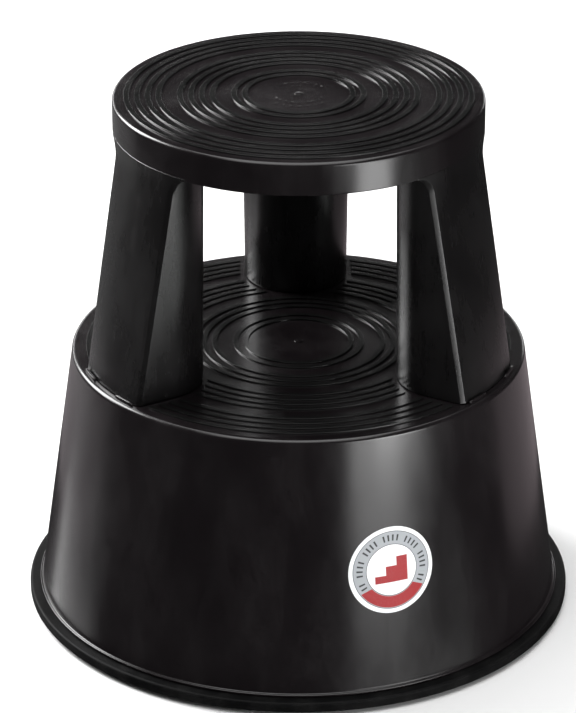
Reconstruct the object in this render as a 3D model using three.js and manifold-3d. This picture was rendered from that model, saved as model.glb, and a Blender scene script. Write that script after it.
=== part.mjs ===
// A rolling step stool: a drum with a lower step, an upper step on three hollow legs, a rubber
// ring that grips the floor under load, and three sprung castors that carry the empty stool.
// Millimetres, +Z up. The floor is z = 0, the stool's axis is the Z axis, the rear leg is
// towards +Y and the label faces the front, -Y.
import * as THREE from 'three';
import { mergeVertices } from 'three/addons/utils/BufferGeometryUtils.js';
import Module from 'manifold-3d';

const wasm = await Module();
wasm.setup();

// Driving dimensions of the whole stool.
const TOP_Z = 429; // flat of the upper step; its tread ridges stand above it
const TOP_RADIUS = 145;
const DECK_Z = 218; // flat of the lower step
const RING_RADIUS = 220;
const RING_UNDER_Z = 4; // clearance under the rubber ring while the castors are out
const GAP = 0.3; // left between pieces that touch

// Walls of the two mouldings.
const PLATE = 4;
const DECK_PLATE = 3.5;
const WALL = 3.2;
const RIB = 2.5;

// Upper step: a plate with a vertical skirt.
const SKIRT_Z = 403;
const SKIRT_WALL = 3.5;
const TOP_EDGE = 3;
const TOP_RIB_Z = 409;

// Legs: in plan an outer arc, two parallel sides and a half-round inner end.
const LEG_AZIMUTHS = { rear: 90, left: 210, right: 330 };
const LEG_WALL = 3.5;
const LEG_CENTRE = 136; // radius at which the half-round inner end is centred
const LEG_BEND_Z = 394; // the outer face is upright above this and flares out below it
const LEG_TOP_RADIUS = 144.6;
const LEG_FOOT_RADIUS = 174;
const LEG_TOP_HALF = 44;
const LEG_FOOT_HALF = 42.2;
const LEG_CHAMFER = 2.5;
const LEG_FILLET = 15;
const SEAT_HEIGHT = 2.5; // of the locating walls on the deck, inside and outside a leg

// Screws that hold each leg down from under the deck, in the leg's own directions.
const SCREW_U = 118;
const SCREW_V = 20;
const SCREW_RADIUS = 2.5;
const BOSS_RADIUS = 6;
const BOSS_TOP_Z = 262;

// Drum: a cone wall under the deck, with a flared foot and a tongue that sits in the ring.
const DECK_EDGE = 3.5;
const DECK_RADIUS = 180.6;
const WALL_SLOPE = 0.142; // growth in radius for each millimetre down
const LIP_Z = 12.3;
const LIP_RADIUS = 211.8;
const TONGUE = [203.2, 206.2];
const DECK_RIB_Z = 205;

// Tread ridges of both steps, in rows counted outwards from the first one.
const TREAD = { height: 1, width: 4.2, first: 42, pitch: 8.36 };
const TOP_ROWS = [0, 1, 3, 4, 5, 6, 8, 9, 10, 11];
const DECK_ROWS = [0, 1, 3, 4, 5, 7, 8, 9, 10, 12, 13, 14, 15];

// Round label on the drum wall.
const LABEL = { azimuth: -69.5, z: 109, radius: 35, thickness: 0.3 };

// Castors, between the legs. Each trails towards +Y, as after a push towards the front.
const CASTOR_AZIMUTHS = { front: 270, right: 30, left: 150 };
const CASTOR_CIRCLE = 150;
const WHEEL_RADIUS = 18;
const TRAIL = 15;
const HOUSING = {
  radius: 13, // of the tube that holds the bush
  bore: 8.5,
  low: 88.3,
  flange: 24,
  flangeThick: 3,
  screwReach: 18.5, // from the tube's axis to each screw
  screwRadius: 2,
};
const STEM_RADIUS = 5;
const STEM_TOP_Z = 138;
const BUSH_Z = 85;
const BUSH_TOP_Z = 131.1;
const CROWN = [38.5, 43];
const RACE = [43.3, 46.4];
const COLLAR = [46.7, 49.4];
const SEAT = [49.7, 51.2];

const ROUND = 48; // sides of the large circles
const SMALL = 12; // sides of the small ones

const COLOURS = {
  shell: [0x17191b, 0.42, 0],
  rubber: [0x121314, 0.85, 0],
  label: [0xe9eaec, 0.55, 0],
  steel: [0xb9bcc0, 0.35, 1],
  nylon: [0xdcd8cc, 0.55, 0],
  fork: [0x2b2d30, 0.5, 0.3],
  hub: [0x6d7175, 0.6, 0],
};

const stool = new THREE.Group();

function addNode(name, geometry, look, place = [0, 0, 0]) {
  const [color, roughness, metalness] = COLOURS[look];
  const material = new THREE.MeshStandardMaterial({ color, roughness, metalness });
  const mesh = new THREE.Mesh(geometry, material);
  mesh.name = name;
  mesh.position.set(...place);
  stool.add(mesh);
}

const radians = THREE.MathUtils.degToRad;

// Boolean helpers: a three.js geometry becomes a solid, and a solid a geometry again.
function solid(geometry) {
  const bare = geometry.index ? geometry.toNonIndexed() : geometry.clone();
  bare.deleteAttribute('normal');
  bare.deleteAttribute('uv');
  const merged = mergeVertices(bare, 1e-4);
  const vertProperties = new Float32Array(merged.attributes.position.array);
  const triVerts = new Uint32Array(merged.index.array);
  return new wasm.Manifold(new wasm.Mesh({ numProp: 3, vertProperties, triVerts }));
}

function geometryOf(body) {
  const mesh = body.getMesh();
  const geometry = new THREE.BufferGeometry();
  geometry.setAttribute('position', new THREE.BufferAttribute(mesh.vertProperties, 3));
  geometry.setIndex(new THREE.BufferAttribute(mesh.triVerts, 1));
  const flat = geometry.toNonIndexed();
  flat.computeVertexNormals();
  return flat;
}

function union(solids) {
  return solids.reduce((all, one) => all.add(one));
}

// Turns a (radius, z) profile about the Z axis. It runs outwards underneath and back on top.
function turned(profile, sides = ROUND) {
  const points = profile.map(([r, z]) => new THREE.Vector2(r, z));
  return new THREE.LatheGeometry(points, sides).rotateX(Math.PI / 2);
}

// A ring of rectangular section, closed on itself.
function ringOf(inner, outer, low, high, sides = ROUND) {
  return turned([[inner, low], [outer, low], [outer, high], [inner, high], [inner, low]], sides);
}

function rod(radius, low, high, sides = SMALL) {
  return turned([[0, low], [radius, low], [radius, high], [0, high]], sides);
}

// Points on an arc, from one angle in degrees to another, both ends included.
function arc(centre, radius, from, to, steps) {
  const points = [];
  for (let i = 0; i <= steps; i += 1) {
    const angle = radians(from + ((to - from) * i) / steps);
    points.push([centre[0] + radius * Math.cos(angle), centre[1] + radius * Math.sin(angle)]);
  }
  return points;
}

function shapeOf(outline) {
  return new THREE.Shape(outline.map(([x, y]) => new THREE.Vector2(x, y)));
}

// An upright prism over a plan outline.
function prism(outline, low, high) {
  const geometry = new THREE.ExtrudeGeometry(shapeOf(outline), {
    depth: high - low,
    bevelEnabled: false,
  });
  return geometry.translate(0, 0, low);
}

// A plate over an outline in the (radius, z) plane, centred on y = 0.
function uprightPlate(outline, thickness) {
  const geometry = new THREE.ExtrudeGeometry(shapeOf(outline), {
    depth: thickness,
    bevelEnabled: false,
  });
  return geometry.translate(0, 0, -thickness / 2).rotateX(Math.PI / 2);
}

// Skins a stack of outlines that have the same number of points, and closes both ends.
function loft(levels) {
  const count = levels[0].outline.length;
  const positions = levels.flatMap(({ outline, z }) => outline.flatMap(([x, y]) => [x, y, z]));
  const faces = [];
  for (let level = 0; level + 1 < levels.length; level += 1) {
    for (let i = 0; i < count; i += 1) {
      const a = level * count + i;
      const b = level * count + ((i + 1) % count);
      faces.push(a, b, b + count, a, b + count, a + count);
    }
  }
  const plan = levels[0].outline.map(([x, y]) => new THREE.Vector2(x, y));
  const last = (levels.length - 1) * count;
  for (const [a, b, c] of THREE.ShapeUtils.triangulateShape(plan, [])) {
    faces.push(a, c, b, last + a, last + b, last + c);
  }
  const geometry = new THREE.BufferGeometry();
  geometry.setAttribute('position', new THREE.Float32BufferAttribute(positions, 3));
  geometry.setIndex(faces);
  return geometry;
}

// Copies of a geometry turned about the Z axis.
function around(geometry, azimuths) {
  return azimuths.map((azimuth) => geometry.clone().rotateZ(radians(azimuth)));
}

function evenly(count) {
  return Array.from({ length: count }, (_, i) => (360 * i) / count);
}

// ---- Treads ----

function treadRing(row, z) {
  const centre = TREAD.first + row * TREAD.pitch;
  const sides = centre < 75 ? 20 : 32;
  const half = TREAD.width / 2;
  return solid(ringOf(centre - half, centre + half, z - 0.5, z + TREAD.height, sides));
}

function gateNub(z) {
  return solid(rod(3.5, z - 0.5, z + 0.6, 12));
}

// ---- Legs ----

function legRadius(z) {
  const down = Math.max(0, (LEG_BEND_Z - z) / (LEG_BEND_Z - DECK_Z));
  return LEG_TOP_RADIUS + (LEG_FOOT_RADIUS - LEG_TOP_RADIUS) * down;
}

function legHalf(z) {
  const down = Math.max(0, (LEG_BEND_Z - z) / (LEG_BEND_Z - DECK_Z));
  return LEG_TOP_HALF + (LEG_FOOT_HALF - LEG_TOP_HALF) * down;
}

// Plan outline of a leg at a height, drawn in by inset. The leg points towards +X here.
function legOutline(z, inset) {
  const half = legHalf(z) - inset;
  const outer = legRadius(z) - inset;
  const cut = LEG_CHAMFER;
  const corner = Math.sqrt(outer * outer - half * half) - cut;
  const spread = THREE.MathUtils.radToDeg(Math.asin((half - cut) / outer));
  return [
    ...arc([LEG_CENTRE, 0], half, 90, 270, 8),
    [corner, -half],
    ...arc([0, 0], outer, -spread, spread, 6),
    [corner, half],
  ];
}

function legLoft(inset, low, high) {
  const heights = [low, LEG_BEND_Z, high];
  return loft(heights.map((z) => ({ z, outline: legOutline(z, inset) })));
}

// Concave webs where the leg's outer corners meet the lower edge of the skirt. Both ends of the
// curve start just inside the leg and the skirt.
function legFillets() {
  const bite = 0.3;
  const edge = legHalf(SKIRT_Z) - bite;
  const low = SKIRT_Z + bite - LEG_FILLET;
  const outline = [
    [edge - 3, SKIRT_Z + 1],
    [edge + LEG_FILLET, SKIRT_Z + 1],
    ...arc([edge + LEG_FILLET, low], LEG_FILLET, 90, 180, 4),
    [edge - 3, low],
  ];
  const outer = LEG_TOP_RADIUS - bite;
  const shell = solid(ringOf(outer - 2.3, outer, low - 2, SKIRT_Z + 2));
  return [1, -1].map((side) => {
    const web = prism(outline, 120, 150);
    web.rotateX(Math.PI / 2).rotateZ(Math.PI / 2);
    const body = solid(web).intersect(shell);
    return side > 0 ? body : body.mirror([0, 1, 0]);
  });
}

// Screw bosses inside a leg, each tied to the wall beside it.
function legBosses() {
  return [1, -1].flatMap((side) => {
    const boss = rod(BOSS_RADIUS, DECK_Z + 1, BOSS_TOP_Z).translate(SCREW_U, side * SCREW_V, 0);
    const tie = new THREE.BoxGeometry(RIB, 12, BOSS_TOP_Z - 228);
    tie.translate(SCREW_U, side * (SCREW_V + 10), (BOSS_TOP_Z + 228) / 2);
    return [solid(boss), solid(tie)];
  });
}

// Rods on the axes of a leg's two screws, for their holes and the pads around them.
function legScrewRods(radius, low, high) {
  return [1, -1].map((side) => solid(rod(radius, low, high).translate(SCREW_U, side * SCREW_V, 0)));
}

// ---- Upper step ----

function upperStep() {
  const edge = [TOP_RADIUS - TOP_EDGE, TOP_Z - TOP_EDGE];
  const plate = solid(
    turned([
      [0, TOP_Z - PLATE],
      [TOP_RADIUS - SKIRT_WALL, TOP_Z - PLATE],
      [TOP_RADIUS - SKIRT_WALL, SKIRT_Z],
      [TOP_RADIUS, SKIRT_Z],
      ...arc(edge, TOP_EDGE, 0, 90, 3),
      [0, TOP_Z],
    ]),
  );
  const ribTop = TOP_Z - PLATE + 0.5;
  const hoops = [60, 100].map((r) => solid(ringOf(r, r + RIB, TOP_RIB_Z, ribTop, 24)));
  const spoke = new THREE.BoxGeometry(TOP_RADIUS - 10, RIB, ribTop - TOP_RIB_Z);
  spoke.translate((TOP_RADIUS + 5) / 2, 0, (ribTop + TOP_RIB_Z) / 2);
  const spokes = around(spoke, evenly(12)).map(solid);
  const hub = solid(rod(12, TOP_RIB_Z, ribTop));
  const azimuths = Object.values(LEG_AZIMUTHS);
  const turn = (body) => azimuths.map((azimuth) => body.rotate([0, 0, azimuth]));
  const leg = union([solid(legLoft(0, DECK_Z + GAP, TOP_Z - PLATE + 1)), ...legFillets()]);
  const hollow = solid(legLoft(LEG_WALL, DECK_Z - 1, TOP_Z - PLATE - 0.5));
  const bosses = union(legBosses());
  const holes = union(legScrewRods(SCREW_RADIUS + 0.4, DECK_Z, BOSS_TOP_Z - 14));
  const body = union([plate, ...hoops, ...spokes, hub, ...turn(leg)])
    .subtract(union(turn(hollow)))
    .add(union(turn(bosses)))
    .subtract(union(turn(holes)));
  const treads = TOP_ROWS.map((row) => treadRing(row, TOP_Z));
  return union([body, ...treads, gateNub(TOP_Z)]);
}

// ---- Lower drum ----

function drumRadius(z) {
  return DECK_RADIUS + WALL_SLOPE * (DECK_Z - z);
}

function drumShell() {
  const edgeZ = DECK_Z - DECK_EDGE;
  const underZ = DECK_Z - DECK_PLATE;
  return solid(
    turned([
      [0, underZ],
      [drumRadius(underZ) - WALL, underZ],
      [drumRadius(20) - WALL, 20],
      [TONGUE[0], LIP_Z],
      [TONGUE[0], RING_UNDER_Z + 3],
      [TONGUE[1], RING_UNDER_Z + 3],
      [TONGUE[1], LIP_Z],
      [LIP_RADIUS - 0.5, LIP_Z],
      [LIP_RADIUS, LIP_Z + 0.8],
      [LIP_RADIUS - 0.5, LIP_Z + 1.7],
      [drumRadius(15.5) + 1.4, 15.5],
      [drumRadius(18) + 0.45, 18],
      [drumRadius(21), 21],
      ...arc([drumRadius(edgeZ) - DECK_EDGE, edgeZ], DECK_EDGE, 0, 90, 3),
      [0, DECK_Z],
    ]),
  );
}

// The deck's treads, broken where a leg stands.
function deckTreads() {
  const treads = union(DECK_ROWS.map((row) => treadRing(row, DECK_Z)));
  const footprint = prism(legOutline(DECK_Z, -4), DECK_Z - 1, DECK_Z + 3);
  return treads.subtract(union(around(footprint, Object.values(LEG_AZIMUTHS)).map(solid)));
}

// A low wall inside the hollow leg's foot, and two short lips outside it.
function legSeat() {
  const collar = solid(prism(legOutline(DECK_Z, LEG_WALL + 1.3), DECK_Z - 0.5, DECK_Z + SEAT_HEIGHT));
  const inside = solid(prism(legOutline(DECK_Z, LEG_WALL + 3.5), DECK_Z - 1, DECK_Z + SEAT_HEIGHT + 1));
  const inner = LEG_FOOT_RADIUS + 0.8;
  const outer = inner + 2.2;
  const lips = [9, -9].map((middle) => {
    const plan = [
      ...arc([0, 0], outer, middle - 3.2, middle + 3.2, 2),
      ...arc([0, 0], inner, middle + 3.2, middle - 3.2, 2),
    ];
    return solid(prism(plan, DECK_Z - 0.5, DECK_Z + SEAT_HEIGHT));
  });
  return union([collar.subtract(inside), ...lips]);
}

// Positions of a castor housing's two screws, for a castor on the +X side.
function housingScrewPlaces() {
  return [1, -1].map((side) => [CASTOR_CIRCLE, side * HOUSING.screwReach]);
}

function lowerDrum() {
  const ribTop = DECK_Z - 1;
  const hoops = [60, 105].map((r) => solid(ringOf(r, r + RIB, DECK_RIB_Z, ribTop, 24)));
  const reach = drumRadius(ribTop) - WALL / 2;
  const spoke = new THREE.BoxGeometry(reach - 6, RIB, ribTop - DECK_RIB_Z);
  spoke.translate((reach + 6) / 2, 0, (ribTop + DECK_RIB_Z) / 2);
  const hub = solid(rod(12, DECK_RIB_Z, ribTop));
  const legs = Object.values(LEG_AZIMUTHS);
  const castors = Object.values(CASTOR_AZIMUTHS);
  const turn = (body, azimuths) => azimuths.map((azimuth) => body.rotate([0, 0, azimuth]));
  const legPads = union(legScrewRods(8, DECK_RIB_Z + 2, ribTop));
  const legHoles = union(legScrewRods(SCREW_RADIUS + 0.4, DECK_RIB_Z, DECK_Z + 1));
  const at = (radius, low, high) =>
    union(housingScrewPlaces().map(([x, y]) => solid(rod(radius, low, high).translate(x, y, 0))));
  const housingPads = at(5, DECK_RIB_Z, ribTop);
  const housingHoles = at(HOUSING.screwRadius + 0.4, DECK_RIB_Z - 1, DECK_Z - DECK_PLATE);
  return union([
    drumShell(),
    deckTreads(),
    gateNub(DECK_Z),
    hub,
    ...hoops,
    ...around(spoke, evenly(12)).map(solid),
    ...turn(legSeat(), legs),
    ...turn(legPads, legs),
    ...turn(housingPads, castors),
  ])
    .subtract(union(turn(legHoles, legs)))
    .subtract(union(turn(housingHoles, castors)));
}

// ---- Rubber ring, label and screws ----

function floorRing() {
  const top = LIP_Z - GAP;
  const slack = 0.5;
  return turned([
    [196, RING_UNDER_Z],
    [RING_RADIUS - 1, RING_UNDER_Z],
    [RING_RADIUS, RING_UNDER_Z + 1],
    ...arc([RING_RADIUS - 2, top - 2], 2, 0, 90, 2),
    [TONGUE[1] + slack, top],
    [TONGUE[1] + slack, RING_UNDER_Z + 2.6],
    [TONGUE[0] - slack, RING_UNDER_Z + 2.6],
    [TONGUE[0] - slack, top],
    [196, top],
    [196, RING_UNDER_Z],
  ]);
}

function label() {
  const low = LABEL.z - LABEL.radius - 5;
  const high = LABEL.z + LABEL.radius + 5;
  const inner = GAP;
  const outer = GAP + LABEL.thickness;
  const skin = turned(
    [
      [drumRadius(low) + inner, low],
      [drumRadius(low) + outer, low],
      [drumRadius(high) + outer, high],
      [drumRadius(high) + inner, high],
      [drumRadius(low) + inner, low],
    ],
    90,
  );
  const punch = rod(LABEL.radius, -20, 20, 24).rotateY(Math.PI / 2 - Math.atan(WALL_SLOPE));
  punch.translate(drumRadius(LABEL.z), 0, LABEL.z).rotateZ(radians(LABEL.azimuth));
  return geometryOf(solid(skin).intersect(solid(punch)));
}

function legScrew() {
  const head = DECK_RIB_Z + 1.7;
  return turned(
    [
      [0, head - 3],
      [4.2, head - 3],
      [5, head - 1],
      [5, head],
      [SCREW_RADIUS, head],
      [SCREW_RADIUS, head + 35],
      [0, head + 38],
    ],
    12,
  );
}

// ---- Castors, each modelled with its swivel axis on the Z axis ----

// Tube for the bush, with a flange that is screwed up against the deck's ribs.
function castorHousing() {
  const top = DECK_RIB_Z - GAP;
  const under = top - HOUSING.flangeThick;
  const body = turned(
    [
      [HOUSING.bore, HOUSING.low],
      [HOUSING.radius, HOUSING.low],
      [HOUSING.radius, under],
      [HOUSING.flange, under],
      [HOUSING.flange, top],
      [HOUSING.bore, top],
      [HOUSING.bore, HOUSING.low],
    ],
    SMALL * 2,
  );
  const outline = [
    [HOUSING.radius - 1, 150],
    [HOUSING.radius + 1, 150],
    [HOUSING.flange - 1, under + 1],
    [HOUSING.radius - 1, under + 1],
  ];
  const gussets = around(uprightPlate(outline, RIB), [0, 180]).map(solid);
  const holes = [1, -1].map((side) => {
    const hole = rod(HOUSING.screwRadius + 0.4, under - 1, top + 1);
    return solid(hole.translate(0, side * HOUSING.screwReach, 0));
  });
  return geometryOf(union([solid(body), ...gussets]).subtract(union(holes)));
}

function housingScrew(side) {
  const head = DECK_RIB_Z - GAP - HOUSING.flangeThick - GAP;
  const radius = HOUSING.screwRadius;
  const profile = [
    [0, head - 2.2],
    [3.6, head - 2.2],
    [4, head - 0.8],
    [4, head],
    [radius, head],
    [radius, head + 10],
    [0, head + 12],
  ];
  return turned(profile, 10).translate(0, side * HOUSING.screwReach, 0);
}

function castorBush() {
  const bore = STEM_RADIUS + 0.35;
  const outer = HOUSING.bore - GAP;
  const flange = HOUSING.low - GAP;
  return turned(
    [
      [bore, BUSH_Z],
      [12, BUSH_Z],
      [12, flange],
      [outer, flange],
      [outer, BUSH_TOP_Z],
      [bore, BUSH_TOP_Z],
      [bore, BUSH_Z],
    ],
    SMALL,
  );
}

function castorStem() {
  const clip = BUSH_TOP_Z;
  return turned(
    [
      [0, CROWN[0] - 2.9],
      [6.5, CROWN[0] - 2.9],
      [6.5, CROWN[0] - GAP],
      [STEM_RADIUS, CROWN[0] - GAP],
      [STEM_RADIUS, COLLAR[0]],
      [8, COLLAR[0]],
      [8, COLLAR[1]],
      [STEM_RADIUS, COLLAR[1]],
      [STEM_RADIUS, clip],
      [4, clip],
      [4, clip + 2],
      [STEM_RADIUS, clip + 2],
      [STEM_RADIUS, STEM_TOP_Z - 1],
      [4, STEM_TOP_Z],
      [0, STEM_TOP_Z],
    ],
    SMALL,
  );
}

// An open retaining clip in the stem's groove, which rests on top of the bush.
function castorClip() {
  const plan = [...arc([0, 0], 7.6, 30, 330, 10), ...arc([0, 0], 4.3, 330, 30, 8)];
  return prism(plan, BUSH_TOP_Z + GAP, BUSH_TOP_Z + GAP + 1.3);
}

class Helix extends THREE.Curve {
  constructor(radius, low, high, turns) {
    super();
    Object.assign(this, { radius, low, high, turns });
  }

  getPoint(t, target = new THREE.Vector3()) {
    const angle = 2 * Math.PI * this.turns * t;
    const z = this.low + (this.high - this.low) * t;
    return target.set(this.radius * Math.cos(angle), this.radius * Math.sin(angle), z);
  }
}

function castorSpring() {
  const wire = 0.8;
  const turns = 6;
  const path = new Helix(9.3, SEAT[1] + GAP + wire, BUSH_Z - GAP - wire, turns);
  return new THREE.ExtrudeGeometry(shapeOf(arc([0, 0], wire, 0, 270, 3)), {
    steps: turns * 6,
    bevelEnabled: false,
    extrudePath: path,
  });
}

// A crown over the wheel and two arms down to the axle.
function castorFork() {
  const crown = new THREE.BoxGeometry(22.6, 21, CROWN[1] - CROWN[0]);
  crown.translate(0, 1.5, (CROWN[0] + CROWN[1]) / 2);
  const outline = [
    [-9, CROWN[1]],
    [-9, CROWN[0] - 2],
    ...arc([TRAIL, WHEEL_RADIUS], 6.5, 215, 370, 6),
    [12, CROWN[1]],
  ];
  const arm = prism(outline, -1.5, 1.5).rotateX(Math.PI / 2).rotateZ(Math.PI / 2);
  const arms = [-9.8, 9.8].map((x) => solid(arm.clone().translate(x, 0, 0)));
  const stemHole = solid(rod(STEM_RADIUS + 0.35, CROWN[0] - 1, CROWN[1] + 1));
  const axleHole = rod(3.2, -15, 15).rotateY(Math.PI / 2).translate(0, TRAIL, WHEEL_RADIUS);
  return geometryOf(union([solid(crown), ...arms]).subtract(stemHole).subtract(solid(axleHole)));
}

// Pieces turned about the axle, which lies along X.
function onAxle(profile, sides) {
  return turned(profile, sides).rotateY(Math.PI / 2).translate(0, TRAIL, WHEEL_RADIUS);
}

function castorAxle() {
  return onAxle(
    [
      [0, -13.2],
      [4.2, -13.2],
      [4.2, -11.6],
      [2.9, -11.6],
      [2.9, 11.6],
      [4.2, 11.6],
      [4.2, 13.2],
      [0, 13.2],
    ],
    12,
  );
}

function wheelHub() {
  const half = [
    [3.2, 7.5],
    [6, 7.5],
    [6.5, 3],
    [11, 3],
    [11.5, 6],
    [13.4, 6],
  ];
  const near = half.map(([r, x]) => [r, -x]);
  return onAxle([...near, ...half.toReversed(), near[0]], SMALL);
}

function wheelTyre() {
  const inner = 13.8;
  return onAxle(
    [
      [inner, -6.2],
      [WHEEL_RADIUS - 1.5, -6.5],
      [WHEEL_RADIUS, -4],
      [WHEEL_RADIUS, 4],
      [WHEEL_RADIUS - 1.5, 6.5],
      [inner, 6.2],
      [inner, -6.2],
    ],
    24,
  );
}

function addCastor(where, azimuth) {
  const angle = radians(azimuth);
  const place = [CASTOR_CIRCLE * Math.cos(angle), CASTOR_CIRCLE * Math.sin(angle), 0];
  const pieces = [
    ['castor_housing', castorHousing().rotateZ(angle), 'shell'],
    ['housing_screw_1', housingScrew(1).rotateZ(angle), 'steel'],
    ['housing_screw_2', housingScrew(-1).rotateZ(angle), 'steel'],
    ['castor_bush', castorBush(), 'nylon'],
    ['castor_spring', castorSpring(), 'steel'],
    ['castor_stem', castorStem(), 'steel'],
    ['castor_clip', castorClip(), 'steel'],
    ['spring_seat', ringOf(STEM_RADIUS + GAP, 12, ...SEAT, SMALL), 'steel'],
    ['swivel_race', ringOf(STEM_RADIUS + 0.4, 9, ...RACE, SMALL), 'steel'],
    ['castor_fork', castorFork(), 'fork'],
    ['castor_axle', castorAxle(), 'steel'],
    ['wheel_hub', wheelHub(), 'hub'],
    ['wheel_tyre', wheelTyre(), 'rubber'],
  ];
  for (const [name, geometry, look] of pieces) {
    addNode(`${name}_${where}`, geometry, look, place);
  }
}

function addLegScrews(where, azimuth) {
  for (const [index, side] of [1, -1].entries()) {
    const screw = legScrew().translate(SCREW_U, side * SCREW_V, 0).rotateZ(radians(azimuth));
    addNode(`leg_screw_${where}_${index + 1}`, screw, 'steel');
  }
}

addNode('upper_step', geometryOf(upperStep()), 'shell');
addNode('lower_drum', geometryOf(lowerDrum()), 'shell');
addNode('floor_ring', floorRing(), 'rubber');
addNode('label', label(), 'label');
for (const [where, azimuth] of Object.entries(LEG_AZIMUTHS)) {
  addLegScrews(where, azimuth);
}
for (const [where, azimuth] of Object.entries(CASTOR_AZIMUTHS)) {
  addCastor(where, azimuth);
}

export default stool;
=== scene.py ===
"""Rolling step stool: fine meshes, materials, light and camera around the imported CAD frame."""
import math

import bmesh
import bpy
import numpy as np
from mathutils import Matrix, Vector

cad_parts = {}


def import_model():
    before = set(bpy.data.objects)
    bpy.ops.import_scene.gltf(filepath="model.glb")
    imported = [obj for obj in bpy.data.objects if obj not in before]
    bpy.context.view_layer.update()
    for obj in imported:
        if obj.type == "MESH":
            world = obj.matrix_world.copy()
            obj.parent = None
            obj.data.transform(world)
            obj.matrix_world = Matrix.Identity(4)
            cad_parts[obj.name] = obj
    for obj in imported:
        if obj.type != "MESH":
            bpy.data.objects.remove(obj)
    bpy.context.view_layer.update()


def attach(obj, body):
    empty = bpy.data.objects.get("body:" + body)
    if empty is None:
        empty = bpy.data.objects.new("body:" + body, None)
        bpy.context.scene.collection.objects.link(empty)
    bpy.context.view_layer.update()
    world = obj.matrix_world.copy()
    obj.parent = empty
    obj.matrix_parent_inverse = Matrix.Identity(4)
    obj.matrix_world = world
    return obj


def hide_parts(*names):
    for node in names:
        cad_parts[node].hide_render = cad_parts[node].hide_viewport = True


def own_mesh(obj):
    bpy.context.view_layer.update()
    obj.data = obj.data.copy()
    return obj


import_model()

# ---------------------------------------------------------------------------
# Sizes in millimetres, the same as the CAD's but for LEG_TOP_RADIUS. MM turns them into metres.
# ---------------------------------------------------------------------------
MM = 0.001
TOP_Z = 429.0
TOP_RADIUS = 145.0
TOP_PLATE = 4.0
SKIRT_Z = 403.0
SKIRT_WALL = 3.5
TOP_RIB_Z = 409.0
DECK_Z = 218.0
DECK_PLATE = 3.5
DECK_RADIUS = 180.6
WALL = 3.2
WALL_SLOPE = 0.142
DECK_RIB_Z = 205.0
RING_RADIUS = 220.0
RING_UNDER_Z = 4.0
LIP_Z = 12.3
LIP_RADIUS = 211.8
RING_INNER = 196.0
TONGUE = (203.2, 206.2)
GAP = 0.3
RIB = 2.5
TOP_HOOPS = (60, 100)
DECK_HOOPS = (60, 105)

TREAD_FIRST = 42.0
TREAD_PITCH = 8.36
TREAD_HALF = 2.1
TREAD_HEIGHT = 1.0
RIDGE_SEGMENTS = 96  # and one more for each millimetre of a ridge's radius
TOP_ROWS = (0, 1, 3, 4, 5, 6, 8, 9, 10, 11)
DECK_ROWS = (0, 1, 3, 4, 5, 7, 8, 9, 10, 12, 13, 14, 15)

LEG_AZIMUTHS = {"rear": 90, "left": 210, "right": 330}
LEG_CENTRE = 136.0
LEG_BEND_Z = 394.0
LEG_TOP_RADIUS = 145.3  # 0.3 proud of the skirt, so that a thin brim shows above each leg
LEG_FOOT_RADIUS = 174.0
LEG_TOP_HALF = 44.0
LEG_FOOT_HALF = 42.2
LEG_WALL = 3.5
LEG_CHAMFER = 2.5
LEG_FILLET = 15.0
SEAT_HEIGHT = 2.5
SCREW_U = 118.0
SCREW_V = 20.0

LABEL_AZIMUTH = -69.5
LABEL_Z = 109.0
LABEL_RADIUS = 35.0
LABEL_THICKNESS = 0.3

CASTOR_AZIMUTHS = {"front": 270, "right": 30, "left": 150}
CASTOR_CIRCLE = 150.0
WHEEL_RADIUS = 18.0
TRAIL = 15.0
HOUSING_SCREW_REACH = 18.5
STEM_RADIUS = 5.0
BUSH_Z = 85.0
BUSH_TOP_Z = 131.1
CROWN = (38.5, 43.0)
RACE = (43.3, 46.4)
COLLAR = (46.7, 49.4)
SEAT = (49.7, 51.2)
SPRING_LOW = 51.5
SPRING_TOP = 84.7


# ---------------------------------------------------------------------------
# Mesh building
# ---------------------------------------------------------------------------
class Build:
    """Collects surfaces in millimetres and turns them into one piece."""

    def __init__(self):
        self.verts = []
        self.faces = []
        self.slots = []
        self.count = 0

    def add(self, verts, faces, slot=0):
        verts = np.asarray(verts, float).reshape(-1, 3)
        self.verts.append(verts)
        self.faces += [tuple(i + self.count for i in face) for face in faces]
        self.slots += [slot] * len(faces)
        self.count += len(verts)

    def add_turned(self, part, azimuth=0.0, place=(0.0, 0.0, 0.0), slot=None):
        """Adds another Build, turned about Z and then moved."""
        verts = turn_z(np.concatenate(part.verts), azimuth) + np.array(place)
        faces = [tuple(i + self.count for i in face) for face in part.faces]
        self.verts.append(verts)
        self.faces += faces
        self.slots += part.slots if slot is None else [slot] * len(faces)
        self.count += len(verts)

    def piece(self, name, body, materials, nodes=(), sharp=32.0):
        mesh = bpy.data.meshes.new(name)
        mesh.from_pydata((np.concatenate(self.verts) * MM).tolist(), [], self.faces)
        mesh.polygons.foreach_set("material_index", self.slots)
        edit = bmesh.new()
        edit.from_mesh(mesh)
        bmesh.ops.remove_doubles(edit, verts=edit.verts, dist=2e-6)
        bmesh.ops.dissolve_degenerate(edit, edges=edit.edges, dist=1e-6)
        bmesh.ops.recalc_face_normals(edit, faces=edit.faces)
        edit.to_mesh(mesh)
        edit.free()
        for material in materials:
            mesh.materials.append(material)
        mesh.shade_smooth()
        mesh.set_sharp_from_angle(angle=math.radians(sharp))
        piece = bpy.data.objects.new(name, mesh)
        bpy.context.scene.collection.objects.link(piece)
        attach(piece, body)
        if nodes:
            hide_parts(*nodes)
        return piece


def turn_z(verts, azimuth):
    angle = math.radians(azimuth)
    c, s = math.cos(angle), math.sin(angle)
    return verts @ np.array([[c, s, 0.0], [-s, c, 0.0], [0.0, 0.0, 1.0]])


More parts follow.
